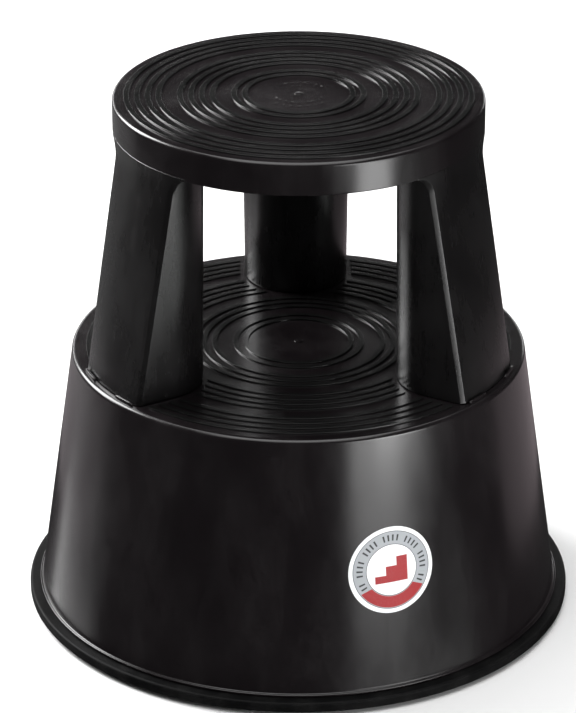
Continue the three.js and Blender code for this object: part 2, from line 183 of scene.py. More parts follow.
def soften(corners, closed=False, steps=5):
    """Rounds each corner (x, y, radius) of an outline; a radius of 0 keeps it sharp."""
    count = len(corners)
    points = []
    for i, (x, y, radius) in enumerate(corners):
        here = np.array((x, y), float)
        if radius <= 0 or (not closed and i in (0, count - 1)):
            points.append(here)
            continue
        before = np.array(corners[i - 1][:2], float) - here
        after = np.array(corners[(i + 1) % count][:2], float) - here
        reach_before, reach_after = np.linalg.norm(before), np.linalg.norm(after)
        before, after = before / reach_before, after / reach_after
        half = math.acos(np.clip(before @ after, -1, 1)) / 2
        tangent = min(radius / math.tan(half), 0.49 * reach_before, 0.49 * reach_after)
        middle = (before + after) / np.linalg.norm(before + after)
        centre = here + middle * (tangent / math.cos(half))
        start, end = here + before * tangent - centre, here + after * tangent - centre
        sweep = math.pi - 2 * half
        for step in range(steps + 1):
            share = step / steps
            blend = (math.sin((1 - share) * sweep) * start + math.sin(share * sweep) * end)
            points.append(centre + blend / math.sin(sweep))
    return np.array(points)


def held(points, closed=False, gap=0.5):
    """Adds a point near both ends of each long stretch, so that smooth shading stays at its edges."""
    out = []
    last = len(points) if closed else len(points) - 1
    for i in range(len(points)):
        out.append(points[i])
        if i >= last:
            continue
        along = points[(i + 1) % len(points)] - points[i]
        length = np.linalg.norm(along)
        if length > 4 * gap:
            out.append(points[i] + along * (gap / length))
            out.append(points[(i + 1) % len(points)] - along * (gap / length))
    return np.array(out)


def grid_faces(rows, columns, wrap_rows=False, wrap_columns=False):
    """Quads over a grid of rows x columns points."""
    faces = []
    for i in range(rows if wrap_rows else rows - 1):
        for j in range(columns if wrap_columns else columns - 1):
            a, b = i * columns + j, i * columns + (j + 1) % columns
            k = (i + 1) % rows * columns
            faces.append((a, b, k + (j + 1) % columns, k + j))
    return faces


def revolve(build, outline, segments, closed=False, slot=0):
    """Turns an (r, z) outline about Z. An open outline starts and ends on the axis."""
    outline = np.asarray(outline, float)
    angles = np.arange(segments) * (2 * math.pi / segments)
    r, z = outline[:, 0], outline[:, 1]
    verts = np.stack(
        [np.outer(np.cos(angles), r), np.outer(np.sin(angles), r), np.tile(z, (segments, 1))], axis=2
    )
    build.add(verts, grid_faces(segments, len(outline), True, closed), slot)


def loft(build, levels, slot=0, caps=True):
    """Skins a stack of closed outlines with equal numbers of points."""
    levels = np.asarray(levels, float)
    rows, columns = levels.shape[:2]
    faces = grid_faces(rows, columns, wrap_columns=True)
    if caps:
        faces.append(tuple(range(columns)))
        faces.append(tuple(range((rows - 1) * columns, rows * columns)))
    build.add(levels, faces, slot)


def at_height(outline, z):
    return np.column_stack([outline, np.full(len(outline), z)])


def arc(radius, start, end, count, centre=(0.0, 0.0)):
    """Points (x, y) round a centre, between two angles in degrees."""
    x, y = centre
    angles = np.radians(np.linspace(start, end, count))
    return [(x + radius * math.cos(a), y + radius * math.sin(a)) for a in angles]


def bar(build, x0, x1, low, high, thickness=RIB):
    """A rib along X with draft and a rounded lower edge."""
    t = thickness / 2
    corners = ((-t - 0.1, high, 0), (-t + 0.15, low, 0.5), (t - 0.15, low, 0.5), (t + 0.1, high, 0))
    section = soften(corners, closed=True, steps=3)
    loft(build, [np.column_stack([np.full(len(section), x), section]) for x in (x0, x1)])


def hoop(build, radius, low, high):
    """A rib bent into a ring."""
    corners = (
        (radius, high, 0),
        (radius + 0.15, low, 0.5),
        (radius + RIB - 0.15, low, 0.5),
        (radius + RIB, high, 0),
    )
    revolve(build, soften(corners, closed=True, steps=3), 128, closed=True)


def post(build, radius, low, high, place=(0, 0)):
    """An upright rod with rounded rims."""
    part = Build()
    corners = ((0, low, 0), (radius, low, 0.5), (radius, high, 0.5), (0, high, 0))
    revolve(part, held(soften(corners, steps=3), gap=0.3), 40)
    build.add_turned(part, 0, (place[0], place[1], 0))


def rib_web(build, hoops, low, high, reach):
    """The ribs under a step: hoops, a hub and twelve spokes."""
    for radius in hoops:
        hoop(build, radius, low, high)
    post(build, 12, low, high)
    for i in range(12):
        spoke = Build()
        bar(spoke, 8, reach, low, high)
        build.add_turned(spoke, 30 * i)


# ---------------------------------------------------------------------------
# Treads
# ---------------------------------------------------------------------------
def tread_section():
    """Section of a ridge: x across it, z up from the flat, flat on top with small round edges."""
    corners = (
        (-TREAD_HALF - 0.15, -0.25, 0),
        (-TREAD_HALF + 0.05, TREAD_HEIGHT, 0.2),
        (TREAD_HALF - 0.05, TREAD_HEIGHT, 0.2),
        (TREAD_HALF + 0.15, -0.25, 0),
    )
    return held(soften(corners, closed=True, steps=3), closed=True, gap=0.15)


def ridge_ring(build, radius, z, slot):
    outline = tread_section() + np.array((radius, z))
    revolve(build, outline, int(RIDGE_SEGMENTS + radius), closed=True, slot=slot)


def ridge_arc(build, radius, z, start, end, slot):
    """A stretch of ridge between two angles in radians, with round ends."""
    shares = np.sin(np.linspace(0, math.pi / 2, 6))
    cap = TREAD_HALF / radius
    inner_start, inner_end = start + cap, end - cap
    steps = max(4, int((inner_end - inner_start) * (RIDGE_SEGMENTS + radius) / (2 * math.pi)))
    angles = [inner_start - cap * s for s in shares[:0:-1]]
    angles += list(np.linspace(inner_start, inner_end, steps))
    angles += [inner_end + cap * s for s in shares[1:]]
    ends = [math.sqrt(max(0.02, 1 - s * s)) for s in shares[1:]]
    scales = ends[::-1] + [1.0] * steps + ends
    levels = []
    section = tread_section()
    for angle, scale in zip(angles, scales):
        r = radius + section[:, 0] * scale
        levels.append(np.column_stack([r * math.cos(angle), r * math.sin(angle), z + section[:, 1]]))
    loft(build, levels, slot)


def leg_gap(radius, clearance=4.0):
    """Half the angle that a leg's footprint, drawn out by the clearance, takes from a ridge."""
    reach = LEG_FOOT_HALF + clearance
    nearest = LEG_CENTRE - reach
    if radius <= nearest:
        return 0.0
    cosine = (radius**2 + LEG_CENTRE**2 - reach**2) / (2 * radius * LEG_CENTRE)
    if radius * cosine < LEG_CENTRE:
        return math.acos(min(1.0, cosine))
    return math.asin(reach / radius)


def gate_nub(build, z):
    """The low round mark that the moulding gate leaves in the middle of a step."""
    profile = ((0, -0.3, 0), (3.6, -0.3, 0), (3.3, 0.5, 0.3), (1.2, 0.6, 0.3), (0, 0.9, 0))
    revolve(build, soften([(r, z + up, edge) for r, up, edge in profile], steps=3), 32)


# ---------------------------------------------------------------------------
# Upper step
# ---------------------------------------------------------------------------
def leg_radius(z):
    slope = (LEG_FOOT_RADIUS - LEG_TOP_RADIUS) / (LEG_BEND_Z - DECK_Z)
    blend = 2.0
    below = blend * np.logaddexp(0, (LEG_BEND_Z - z) / blend)
    return LEG_TOP_RADIUS + slope * below


def leg_half(z):
    down = min(1.0, max(0.0, (LEG_BEND_Z - z) / (LEG_BEND_Z - DECK_Z)))
    return LEG_TOP_HALF + (LEG_FOOT_HALF - LEG_TOP_HALF) * down


def web_reach(z):
    """How far the skirt's wall spreads past the leg's side, above the fillet's foot."""
    up = min(LEG_FILLET, max(0.0, z - (SKIRT_Z - LEG_FILLET)))
    return LEG_FILLET - math.sqrt(LEG_FILLET**2 - up**2)


def leg_outline(z, inset=0.0):
    """Plan of a leg towards +X: outer arc, chamfers, webs under the skirt, sides, round inner end."""
    half, outer = leg_half(z) - inset, leg_radius(z) - inset
    edge = half + (web_reach(z) if inset < 1 else 0.0)
    cut = LEG_CHAMFER
    spread = math.asin((edge - cut) / outer)
    behind = outer - SKIRT_WALL
    face = [(x, y, 0) for x, y in arc(outer, 0, math.degrees(spread), 12)[:-1]]
    corners = [
        (outer * math.cos(spread), outer * math.sin(spread), 0.7),
        (math.sqrt(outer**2 - edge**2) - cut, edge, 0.7),
        (math.sqrt(behind**2 - edge**2), edge, 0.0),
        (math.sqrt(behind**2 - half**2) - 0.01, half, 0.0),
    ]
    inner = [(x, y, 0) for x, y in arc(half, 90, 180, 20, (LEG_CENTRE, 0.0))]
    side = soften(face + corners + inner, steps=4)
    other = side[-2:0:-1] * np.array((1, -1))
    return np.concatenate([side, other])


def leg(build):
    """Outer skin down to the foot, round its rim, and up inside the hollow."""
    foot = DECK_Z + GAP
    fillet = [SKIRT_Z - LEG_FILLET * (1 - math.sin(a)) for a in np.linspace(0, math.pi / 2, 14)]
    brim = SKIRT_Z + 1.1
    rim = ((0.9, 0.7), (0.3, 0.5), (0.1, 0.3))
    levels = [at_height(leg_outline(brim, inset), brim + up) for inset, up in rim]
    heights = [brim, SKIRT_Z + 0.5] + fillet[::-1] + [385, 380, 370, 340, 300, 260, 230, foot + 2]
    levels += [at_height(leg_outline(z), z) for z in heights]
    for inset, up in ((0.0, 0.8), (0.25, 0.25), (0.8, 0.0)):
        levels.append(at_height(leg_outline(foot, inset), foot + up))
    for z in (foot, 300, 380, 396, brim):
        levels.append(at_height(leg_outline(z, LEG_WALL), z))
    levels = np.array(levels)
    faces = grid_faces(len(levels), levels.shape[1], wrap_rows=True, wrap_columns=True)
    build.add(levels, faces)


def raised_marks(build, z):
    """Short plain raised dashes round the gate, in place of the maker's moulded text."""
    for radius, middle, spread, count in ((24.0, 90, 50, 9), (19.0, 270, 64, 9), (27.0, 270, 40, 7)):
        for i in range(count):
            angle = math.radians(middle + spread * (2 * i / (count - 1) - 1))
            part = Build()
            half = 1.0 if i % 3 else 1.7
            corners = ((-half, -0.45, 0.3), (half, -0.45, 0.3), (half, 0.45, 0.3), (-half, 0.45, 0.3))
            base = soften(corners, closed=True, steps=3)
            levels = [at_height(base, -0.2), at_height(base, 0.3), at_height(base * 0.75, 0.42)]
            loft(part, levels)
            place = (radius * math.cos(angle), radius * math.sin(angle), z)
            build.add_turned(part, math.degrees(angle) + 90, place)


def upper_step(shell, tread, leg_look):
    build = Build()
    corners = (
        (0, TOP_Z - TOP_PLATE, 0),
        (TOP_RADIUS - SKIRT_WALL, TOP_Z - TOP_PLATE, 1.5),
        (TOP_RADIUS - SKIRT_WALL + 0.4, SKIRT_Z, 0.7),
        (TOP_RADIUS, SKIRT_Z, 0.8),
        (TOP_RADIUS, TOP_Z, 3.0),
        (0, TOP_Z, 0),
    )
    revolve(build, held(soften(corners, steps=6)), 288)
    for row in TOP_ROWS:
        ridge_ring(build, TREAD_FIRST + row * TREAD_PITCH, TOP_Z, 1)
    gate_nub(build, TOP_Z)
    raised_marks(build, TOP_Z)
    rib_web(build, TOP_HOOPS, TOP_RIB_Z, TOP_Z - TOP_PLATE + 0.5, TOP_RADIUS - 3)
    for azimuth in LEG_AZIMUTHS.values():
        part = Build()
        leg(part)
        build.add_turned(part, azimuth, slot=2)
    build.piece("upper_step_body", "stool", [shell, tread, leg_look], ["upper_step"])


# ---------------------------------------------------------------------------
# Lower drum
# ---------------------------------------------------------------------------
def drum_radius(z):
    return DECK_RADIUS + WALL_SLOPE * (DECK_Z - z)


def drum_shell(build):
    """Deck, cone wall and flared foot, with the tongue that the ring grips."""
    under = DECK_Z - DECK_PLATE
    corners = (
        (0, under, 0),
        (drum_radius(under) - WALL, under, 2.0),
        (drum_radius(20) - WALL, 20, 6),
        (TONGUE[0], LIP_Z + 1, 3),
        (TONGUE[0], RING_UNDER_Z + 3, 0.4),
        (TONGUE[1], RING_UNDER_Z + 3, 0.4),
        (TONGUE[1], LIP_Z, 0.2),
        (LIP_RADIUS - 0.2, LIP_Z, 0.5),
        (LIP_RADIUS, 14.6, 0.9),
        (drum_radius(14.4), 14.4, 3.2),
        (drum_radius(DECK_Z), DECK_Z, 3.8),
        (0, DECK_Z, 0),
    )
    revolve(build, held(soften(corners, steps=8)), 320)


def deck_treads(build, slot):
    middles = [math.radians(a) for a in sorted(LEG_AZIMUTHS.values())]
    for row in DECK_ROWS:
        radius = TREAD_FIRST + row * TREAD_PITCH
        gap = leg_gap(radius)
        if gap == 0.0:
            ridge_ring(build, radius, DECK_Z, slot)
            continue
        for i, middle in enumerate(middles):
            after = middles[(i + 1) % 3] + (2 * math.pi if i == 2 else 0)
            ridge_arc(build, radius, DECK_Z, middle + gap, after - gap, slot)


def leg_lips(build):
    """Two short lips on the deck that stand just outside a leg's foot."""
    inner, outer = LEG_FOOT_RADIUS + 0.8, LEG_FOOT_RADIUS + 3.0
    for side in (1, -1):
        part = Build()
        levels = []
        angles = np.radians(side * np.linspace(5.6, 12.4, 12))
        for i, angle in enumerate(angles):
            end = 0.8 if i in (0, len(angles) - 1) else 0.0
            corners = (
                (inner + end * 0.4, DECK_Z - 0.3, 0),
                (inner + 0.1 + end * 0.4, DECK_Z + SEAT_HEIGHT - end, 0.5),
                (outer - 0.1 - end * 0.4, DECK_Z + SEAT_HEIGHT - end, 0.5),
                (outer + 0.2 - end * 0.4, DECK_Z - 0.3, 0),
            )
            section = soften(corners, closed=True, steps=3)
            r = section[:, 0]
            levels.append(np.column_stack([r * math.cos(angle), r * math.sin(angle), section[:, 1]]))
        loft(part, levels)
        build.add_turned(part)


def lower_drum(shell, tread):
    build = Build()
    drum_shell(build)
    deck_treads(build, 1)
    gate_nub(build, DECK_Z)
    rib_top = DECK_Z - 1
    rib_web(build, DECK_HOOPS, DECK_RIB_Z, rib_top, drum_radius(rib_top) - WALL / 2)
    for azimuth in LEG_AZIMUTHS.values():
        part = Build()
        leg_lips(part)
        for side in (1, -1):
            post(part, 8, DECK_RIB_Z + 2, rib_top, (SCREW_U, side * SCREW_V))
        build.add_turned(part, azimuth)
    for azimuth in CASTOR_AZIMUTHS.values():
        part = Build()
        for side in (1, -1):
            post(part, 5, DECK_RIB_Z, rib_top, (CASTOR_CIRCLE, side * HOUSING_SCREW_REACH))
        build.add_turned(part, azimuth)
    build.piece("lower_drum_body", "stool", [shell, tread], ["lower_drum"])


# ---------------------------------------------------------------------------
# Ring, label and screws
# ---------------------------------------------------------------------------
def floor_ring(rubber):
    top = LIP_Z - GAP
    slack = 0.5
    groove_floor = RING_UNDER_Z + 2.6
    under = [(RING_INNER, RING_UNDER_Z, 0.6)]
    for k in range(5):
        groove = RING_INNER + 4 + 4 * k
        for across, up in ((-0.9, 0.0), (-0.5, 0.9), (0.5, 0.9), (0.9, 0.0)):
            under.append((groove + across, RING_UNDER_Z + up, 0.2))
    corners = under + [
        (RING_RADIUS - 0.1, RING_UNDER_Z, 0.9),
        (RING_RADIUS, top, 2.2),
        (TONGUE[1] + slack, top, 0.3),
        (TONGUE[1] + slack, groove_floor, 0.3),
        (TONGUE[0] - slack, groove_floor, 0.3),
        (TONGUE[0] - slack, top, 0.3),
        (RING_INNER, top, 0.8),
    ]
    build = Build()
    outline = held(soften(corners, closed=True, steps=4), closed=True, gap=0.4)
    revolve(build, outline, 320, closed=True)
    build.piece("floor_ring_body", "stool", [rubber], ["floor_ring"])


def label(print_material):
    """A thin disc bent round the wall, with a rolled rim."""
    face = [0.0] + list(np.linspace(2, LABEL_RADIUS - 0.3, 16))
    rims = [(r, LABEL_THICKNESS) for r in face]
    rims += [(LABEL_RADIUS - 0.08, 0.27), (LABEL_RADIUS, 0.2), (LABEL_RADIUS, 0.06)]
    rims += [(LABEL_RADIUS - 2, 0.06), (0.0, 0.06)]
    segments = 120
    slope = math.atan(WALL_SLOPE)
    levels = []
    for radius, proud in rims:
        ring = []
        for i in range(segments):
            angle = 2 * math.pi * i / segments
            across, up = radius * math.cos(angle), radius * math.sin(angle)
            z = LABEL_Z + up * math.cos(slope)
            r = drum_radius(z) + proud
            azimuth = math.radians(LABEL_AZIMUTH) + across / drum_radius(LABEL_Z)
            ring.append((r * math.cos(azimuth), r * math.sin(azimuth), z))
        levels.append(ring)
    build = Build()
    loft(build, levels, caps=False)
    build.piece("label_sticker", "stool", [print_material], ["label"], sharp=60)


def screw_head(build, radius, height, low, shank, length, recess=0.62):
    """A pan head that faces down, with a cross recess, and its shank going up."""
    rings = np.concatenate([np.linspace(0, 0.92, 14), (0.97, 1.0, 1.0)])
    segments = 64
    levels = []
    for i, share in enumerate(rings):
        r = share * radius
        dome = 0.8 * height * (1 - math.sqrt(1 - (0.98 * min(share, 0.98)) ** 4))
        ring = []
        for j in range(segments):
            angle = 2 * math.pi * j / segments
            x, y = r * math.cos(angle), r * math.sin(angle)
            arm = min(abs(x), abs(y))
            reach = max(abs(x), abs(y)) / (recess * radius)
            width = 0.17 * radius * (1 - 0.35 * min(reach, 1))
            dent = 0.75 * height * (1 - reach) if arm < width and reach < 1 else 0.0
            z = low + min(dome, height) + dent
            ring.append((x, y, low + height if i == len(rings) - 1 else z))
        levels.append(ring)
    around = np.arange(segments) * (2 * math.pi / segments)
    for r, z in ((shank, low + height), (shank, low + length), (0.0, low + length + 2)):
        levels.append([(r * math.cos(a), r * math.sin(a), z) for a in around])
    loft(build, levels, caps=False)


def leg_screws(steel):
    height = 3.0
    low = DECK_RIB_Z + 1.7 - height
    for where, azimuth in LEG_AZIMUTHS.items():
        for index, side in ((1, 1), (2, -1)):
            head = Build()
            screw_head(head, 5.0, height, low, 2.5, 38)
            placed = Build()
            placed.add_turned(head, 0, (SCREW_U, side * SCREW_V, 0))
            build = Build()
            build.add_turned(placed, azimuth)
            node = f"leg_screw_{where}_{index}"
            build.piece(f"{node}_fine", "stool", [steel], [node])


# ---------------------------------------------------------------------------
# Castors, each built with its swivel axis on the Z axis
# ---------------------------------------------------------------------------
def lathe(corners, closed=False, segments=56):
    build = Build()
    outline = held(soften(corners, closed=closed, steps=4), closed=closed, gap=0.25)
    revolve(build, outline, segments, closed=closed)
    return build


def on_axle(part):
    """Turns a part made round Z onto the axle, which lies along X."""
    x, y, z = np.concatenate(part.verts).T
    build = Build()
    build.add(np.column_stack([z, y + TRAIL, WHEEL_RADIUS - x]), part.faces)
    return build


def housing():
    """A tube with a flange on top and two gussets between them."""
    bore, tube, flange = 8.5, 13, 24
    low, flange_low, top = BUSH_Z + 3.3, DECK_RIB_Z - 3.3, DECK_RIB_Z - GAP
    corners = (
        (bore, low, 0.6),
        (tube, low, 0.8),
        (tube, flange_low, 2.0),
        (flange, flange_low, 0.8),
        (flange, top, 0.5),
        (bore, top, 0.3),
    )
    build = Build()
    build.add_turned(lathe(corners, closed=True, segments=72))
    outline = ((tube - 1, 150), (tube + 0.6, 150), (flange - 1, 202.5), (tube - 1, 202.5))
    for turn in (0, 180):
        gusset = Build()
        loft(gusset, [[(x, y, z) for x, z in outline] for y in (-RIB / 2, RIB / 2)])
        build.add_turned(gusset, turn)
    return build


def bush():
    bore, sleeve, flange = STEM_RADIUS + 0.35, 8.2, 12
    corners = (
        (bore, BUSH_Z, 0.4),
        (flange, BUSH_Z, 0.6),
        (flange, BUSH_Z + 3, 0.5),
        (sleeve, BUSH_Z + 3, 0.2),
        (sleeve, BUSH_TOP_Z, 0.5),
        (bore, BUSH_TOP_Z, 0.4),
    )
    return lathe(corners, closed=True)


def stem():
    """A pin with a foot under the fork, a collar over it, and a groove for the clip."""
    foot, foot_top = CROWN[0] - 2.9, CROWN[0] - GAP
    groove, groove_top, top = BUSH_TOP_Z, BUSH_TOP_Z + 2, 138
    corners = (
        (0, foot, 0),
        (6.5, foot, 0.8),
        (6.5, foot_top, 0.3),
        (STEM_RADIUS, foot_top, 0.1),
        (STEM_RADIUS, COLLAR[0], 0.1),
        (8, COLLAR[0], 0.4),
        (8, COLLAR[1], 0.4),
        (STEM_RADIUS, COLLAR[1], 0.3),
        (STEM_RADIUS, groove, 0.15),
        (4, groove, 0.1),
        (4, groove_top, 0.1),
        (STEM_RADIUS, groove_top, 0.15),
        (STEM_RADIUS, top, 1.0),
        (0, top, 0),
    )
    return lathe(corners)


def clip():
    """An open ring in the stem's groove."""
    build = Build()
    outline = np.array(arc(7.5, 30, 330, 40) + arc(4.35, 330, 30, 40))
    loft(build, [at_height(outline, BUSH_TOP_Z + up) for up in (0.3, 1.5)])
    return build


def washer(inner, outer, low, high, edge=0.35):
    corners = ((inner, low, edge), (outer, low, edge), (outer, high, edge), (inner, high, edge))
    return lathe(corners, closed=True)


def swivel_race():
    """Two pressed races with a sleeve and a ring of balls between them."""
    low, high = RACE
    plate = 0.9
    build = Build()
    build.add_turned(washer(5.4, 9, low, low + plate, 0.2))
    build.add_turned(washer(5.4, 9, high - plate, high, 0.2))
    build.add_turned(washer(5.6, 6.2, low + plate - 0.1, high - plate + 0.1, 0.1))
    for x, y in arc(7.5, 0, 330, 12):
        ball = Build()
        revolve(ball, arc(0.72, -90, 90, 9), 12)
        build.add_turned(ball, 0, (x, y, (low + high) / 2))
    return build


def coil(low, high, radius=9.3, wire=0.8, turns=6):
    """A compression spring with a closed turn at each end."""
    build = Build()
    steps = turns * 28
    levels = []
    for i in range(steps + 1):
        t = i / steps
        ends = min(1.0, t * turns, (1 - t) * turns)
        rise = np.clip((t * turns - 0.85) / (turns - 1.7), 0, 1)
        z = low + wire + (high - low - 2 * wire) * (rise * 0.90 + 0.10 * t)
        angle = 2 * math.pi * turns * t
        thin = wire * (0.75 + 0.25 * ends)
        ring = []
        for j in range(10):
            a = 2 * math.pi * j / 10
            r = radius + thin * math.cos(a)
            ring.append((r * math.cos(angle), r * math.sin(angle), z + thin * math.sin(a)))
        levels.append(ring)
    loft(build, levels)
    return build


def slab(outline, low, high):
    """A plate over a plan outline, with chamfered rims."""
    edge = 0.5
    outline = np.asarray(outline, float)
    middle = outline.mean(axis=0)
    reach = np.abs(outline - middle).max()
    inset = middle + (outline - middle) * (1 - edge / reach)
    build = Build()
    levels = [at_height(inset, low), at_height(outline, low + edge)]
    levels += [at_height(outline, high - edge), at_height(inset, high)]
    loft(build, levels)
    return build


def fork():
    """A crown over the wheel, two arms down to the axle, and a low boss on each."""
    build = Build()
    half, back, front = 11.3, -9, 12
    crown = ((-half, back, 2), (half, back, 2), (half, front, 2), (-half, front, 2))
    build.add_turned(slab(soften(crown, closed=True), *CROWN))
    eye = [(x, y, 0) for x, y in arc(6.5, 215, 370, 20, (TRAIL, WHEEL_RADIUS))]
    top = CROWN[1] - 0.2
    outline = [(back, top, 0.5), (back, CROWN[0] - 2, 2)] + eye + [(front, top, 0.5)]
    arm = slab(soften(outline, closed=True), -1.5, 1.5)
    verts = np.concatenate(arm.verts)
    for side in (-9.8, 9.8):
        build.add(np.column_stack([verts[:, 2] + side, verts[:, 0], verts[:, 1]]), arm.faces)
    for side in (-1, 1):
        near, far = side * 11.2, side * 11.55
        boss = ((3.2, near, 0.2), (5.4, near, 0.3), (5.4, far, 0.2), (3.2, far, 0.2))
        build.add_turned(on_axle(lathe(boss, closed=True)))
    return build


def mirrored(half):
    """An outline (r, x, edge) given for one side of the wheel, with the other side put before it."""
    return tuple((r, -x, edge) for r, x, edge in half) + half[::-1]


def axle():
    """A plain pin with a round head at each end."""
    return on_axle(lathe(mirrored(((0, 13.2, 0), (4.2, 13.2, 0.9), (4.2, 11.6, 0.2), (2.9, 11.6, 0.1)))))


def hub():
    """A boss, a thin web and a rim, with five spokes on each side."""
    half = (
        (3.2, 7.5, 0.2),
        (6, 7.5, 0.5),
        (6.6, 2.2, 0.8),
        (10.8, 2.2, 0.8),
        (11.6, 5.8, 0.4),
        (13.4, 6, 0.3),
    )
    build = lathe(mirrored(half), closed=True)
    for i in range(5):
        for low, high in ((-6.0, -2.0), (2.0, 6.0)):
            spoke = Build()
            bar(spoke, 5.6, 11.6, low, high, 1.6)
            build.add_turned(spoke, 72 * i)
    return on_axle(build)


def tyre():
    half = ((13.8, 6.2, 0.4), (WHEEL_RADIUS - 1.0, 6.5, 1.4), (WHEEL_RADIUS, 4.4, 2.0))
    return on_axle(lathe(mirrored(half), closed=True, segments=72))


def castor(where, azimuth, looks):
    angle = math.radians(azimuth)
    place = (CASTOR_CIRCLE * math.cos(angle), CASTOR_CIRCLE * math.sin(angle), 0)

    def put(part, name, body, look, node, turn=0.0):
        build = Build()
        build.add_turned(part, turn, place)
        return build.piece(f"{name}_{where}_fine", body, [looks[look]], [f"{node}_{where}"])

    put(housing(), "castor_housing", "stool", "inner", "castor_housing", azimuth)
    for index, side in ((1, 1), (2, -1)):
        screw = Build()
        screw_head(screw, 4.0, 2.2, 199.2, 2.0, 12)
        moved = Build()
        moved.add_turned(screw, 0, (0, side * HOUSING_SCREW_REACH, 0))
        put(moved, f"housing_screw_{index}", "stool", "zinc", f"housing_screw_{index}", azimuth)
    put(bush(), "castor_bush", "stool", "acetal", "castor_bush")
    spring = put(coil(SPRING_LOW, SPRING_TOP), "castor_spring", "stool", "spring", "castor_spring")
    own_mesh(spring)
    put(stem(), "castor_stem", f"stem_{where}", "zinc", "castor_stem")
    put(clip(), "castor_clip", f"stem_{where}", "spring", "castor_clip")
    put(washer(STEM_RADIUS + GAP, 12, *SEAT), "spring_seat", f"stem_{where}", "zinc", "spring_seat")
    put(swivel_race(), "swivel_race", f"fork_{where}", "zinc", "swivel_race")
    put(fork(), "castor_fork", f"fork_{where}", "nylon", "castor_fork")
    put(axle(), "castor_axle", f"fork_{where}", "zinc", "castor_axle")
    put(hub(), "wheel_hub", f"wheel_{where}", "hub", "wheel_hub")
    put(tyre(), "wheel_tyre", f"wheel_{where}", "tyre", "wheel_tyre")


# ---------------------------------------------------------------------------
# Materials
# ---------------------------------------------------------------------------
class Nodes:
    """Short-hand for building one material's node tree."""

    def __init__(self, name):
        self.material = bpy.data.materials.new(name)
        self.material.use_nodes = True
        self.tree = self.material.node_tree
        self.shader = self.tree.nodes["Principled BSDF"]
        self.place = self.node("ShaderNodeTexCoord").outputs["Object"]

    def node(self, kind, **settings):
        made = self.tree.nodes.new(kind)
        for key, value in settings.items():
            setattr(made, key, value)
        return made

    def link(self, source, target):
        self.tree.links.new(source, target)

    def set(self, **values):
        for key, value in values.items():
            self.shader.inputs[key.replace("_", " ")].default_value = value

    def noise(self, scale, detail=2.0, roughness=0.5, stretch=(1, 1, 1)):
        """Noise over the object, with scale in lumps per metre."""
        mapping = self.node("ShaderNodeMapping")
        mapping.inputs["Scale"].default_value = stretch
        self.link(self.place, mapping.inputs["Vector"])
        noise = self.node("ShaderNodeTexNoise")
        noise.inputs["Scale"].default_value = scale
        noise.inputs["Detail"].default_value = detail
        noise.inputs["Roughness"].default_value = roughness
        self.link(mapping.outputs["Vector"], noise.inputs["Vector"])
        return noise.outputs["Fac"]

    def spread(self, value, low, high, from_low=0.3, from_high=0.7):
        ramp = self.node("ShaderNodeMapRange")
        ramp.inputs["From Min"].default_value = from_low
        ramp.inputs["From Max"].default_value = from_high
        ramp.inputs["To Min"].default_value = low
        ramp.inputs["To Max"].default_value = high
        self.link(value, ramp.inputs["Value"])
        return ramp.outputs["Result"]

    def math(self, operation, a, b=0.0):
        made = self.node("ShaderNodeMath", operation=operation)
        for socket, value in zip(made.inputs, (a, b)):
            if isinstance(value, (int, float)):
                socket.default_value = value
            else:
                self.link(value, socket)
        return made.outputs["Value"]

    def mix(self, share, first, second):
        made = self.node("ShaderNodeMix", data_type="RGBA")
        for name, value in (("Factor", share), ("A", first), ("B", second)):
            if isinstance(value, (int, float, tuple)):
                made.inputs[name].default_value = value
            else:
                self.link(value, made.inputs[name])
        return made.outputs["Result"]

    def bump(self, layers):
        """Chains bumps given as (height, depth in metres)."""
        last = None
        for height, depth in layers:
            bump = self.node("ShaderNodeBump")
            bump.inputs["Strength"].default_value = 1.0
            bump.inputs["Distance"].default_value = depth
            self.link(height, bump.inputs["Height"])
            if last is not None:
                self.link(last, bump.inputs["Normal"])
            last = bump.outputs["Normal"]
        self.link(last, self.shader.inputs["Normal"])


def shade(colour, factor):
    return tuple(c * factor for c in colour[:3]) + (1.0,)


def polypropylene(name, base, low, high, grain=0.000010, wave=0.00018, dust=0.012):
    """Black moulded plastic: fine grain, faint flow, uneven gloss and a little dust."""
    n = Nodes(name)
    flow = n.noise(9, 3, 0.55, (1, 1, 0.35))
    fine = n.noise(2600, 2, 0.6)
    patch = n.noise(22, 5, 0.62, (1, 1, 0.5))
    scuff = n.noise(420, 5, 0.72, (1, 1, 0.12))
    tone = n.mix(n.spread(patch, 0.0, 1.0), base, shade(base, 1.35))
    haze = n.spread(n.math("MULTIPLY", scuff, n.spread(patch, 0.2, 1.0)), 0.0, dust, 0.22, 0.62)
    n.link(n.mix(haze, tone, (0.42, 0.41, 0.40, 1.0)), n.shader.inputs["Base Color"])
    gloss = n.math("ADD", n.math("MULTIPLY", patch, 0.8), n.math("MULTIPLY", scuff, 0.2))
    n.link(n.spread(gloss, low, high, 0.35, 0.65), n.shader.inputs["Roughness"])
    n.bump([(flow, wave), (patch, 0.00003), (fine, grain)])
    n.set(IOR=1.49)
    return n.material


def rubber(name, base, low, high):
    """Dull rubber with a fine sanded grain and dusty patches."""
    n = Nodes(name)
    grain = n.noise(1500, 3, 0.65)
    patch = n.noise(60, 4, 0.6)
    scuff = n.noise(700, 4, 0.7)
    dust = n.spread(n.math("MULTIPLY", patch, scuff), 0.0, 0.04, 0.20, 0.50)
    n.link(n.mix(dust, base, (0.30, 0.29, 0.28, 1.0)), n.shader.inputs["Base Color"])
    n.link(n.spread(patch, low, high), n.shader.inputs["Roughness"])
    n.bump([(patch, 0.00012), (grain, 0.00004)])
    n.set(IOR=1.15)
    return n.material


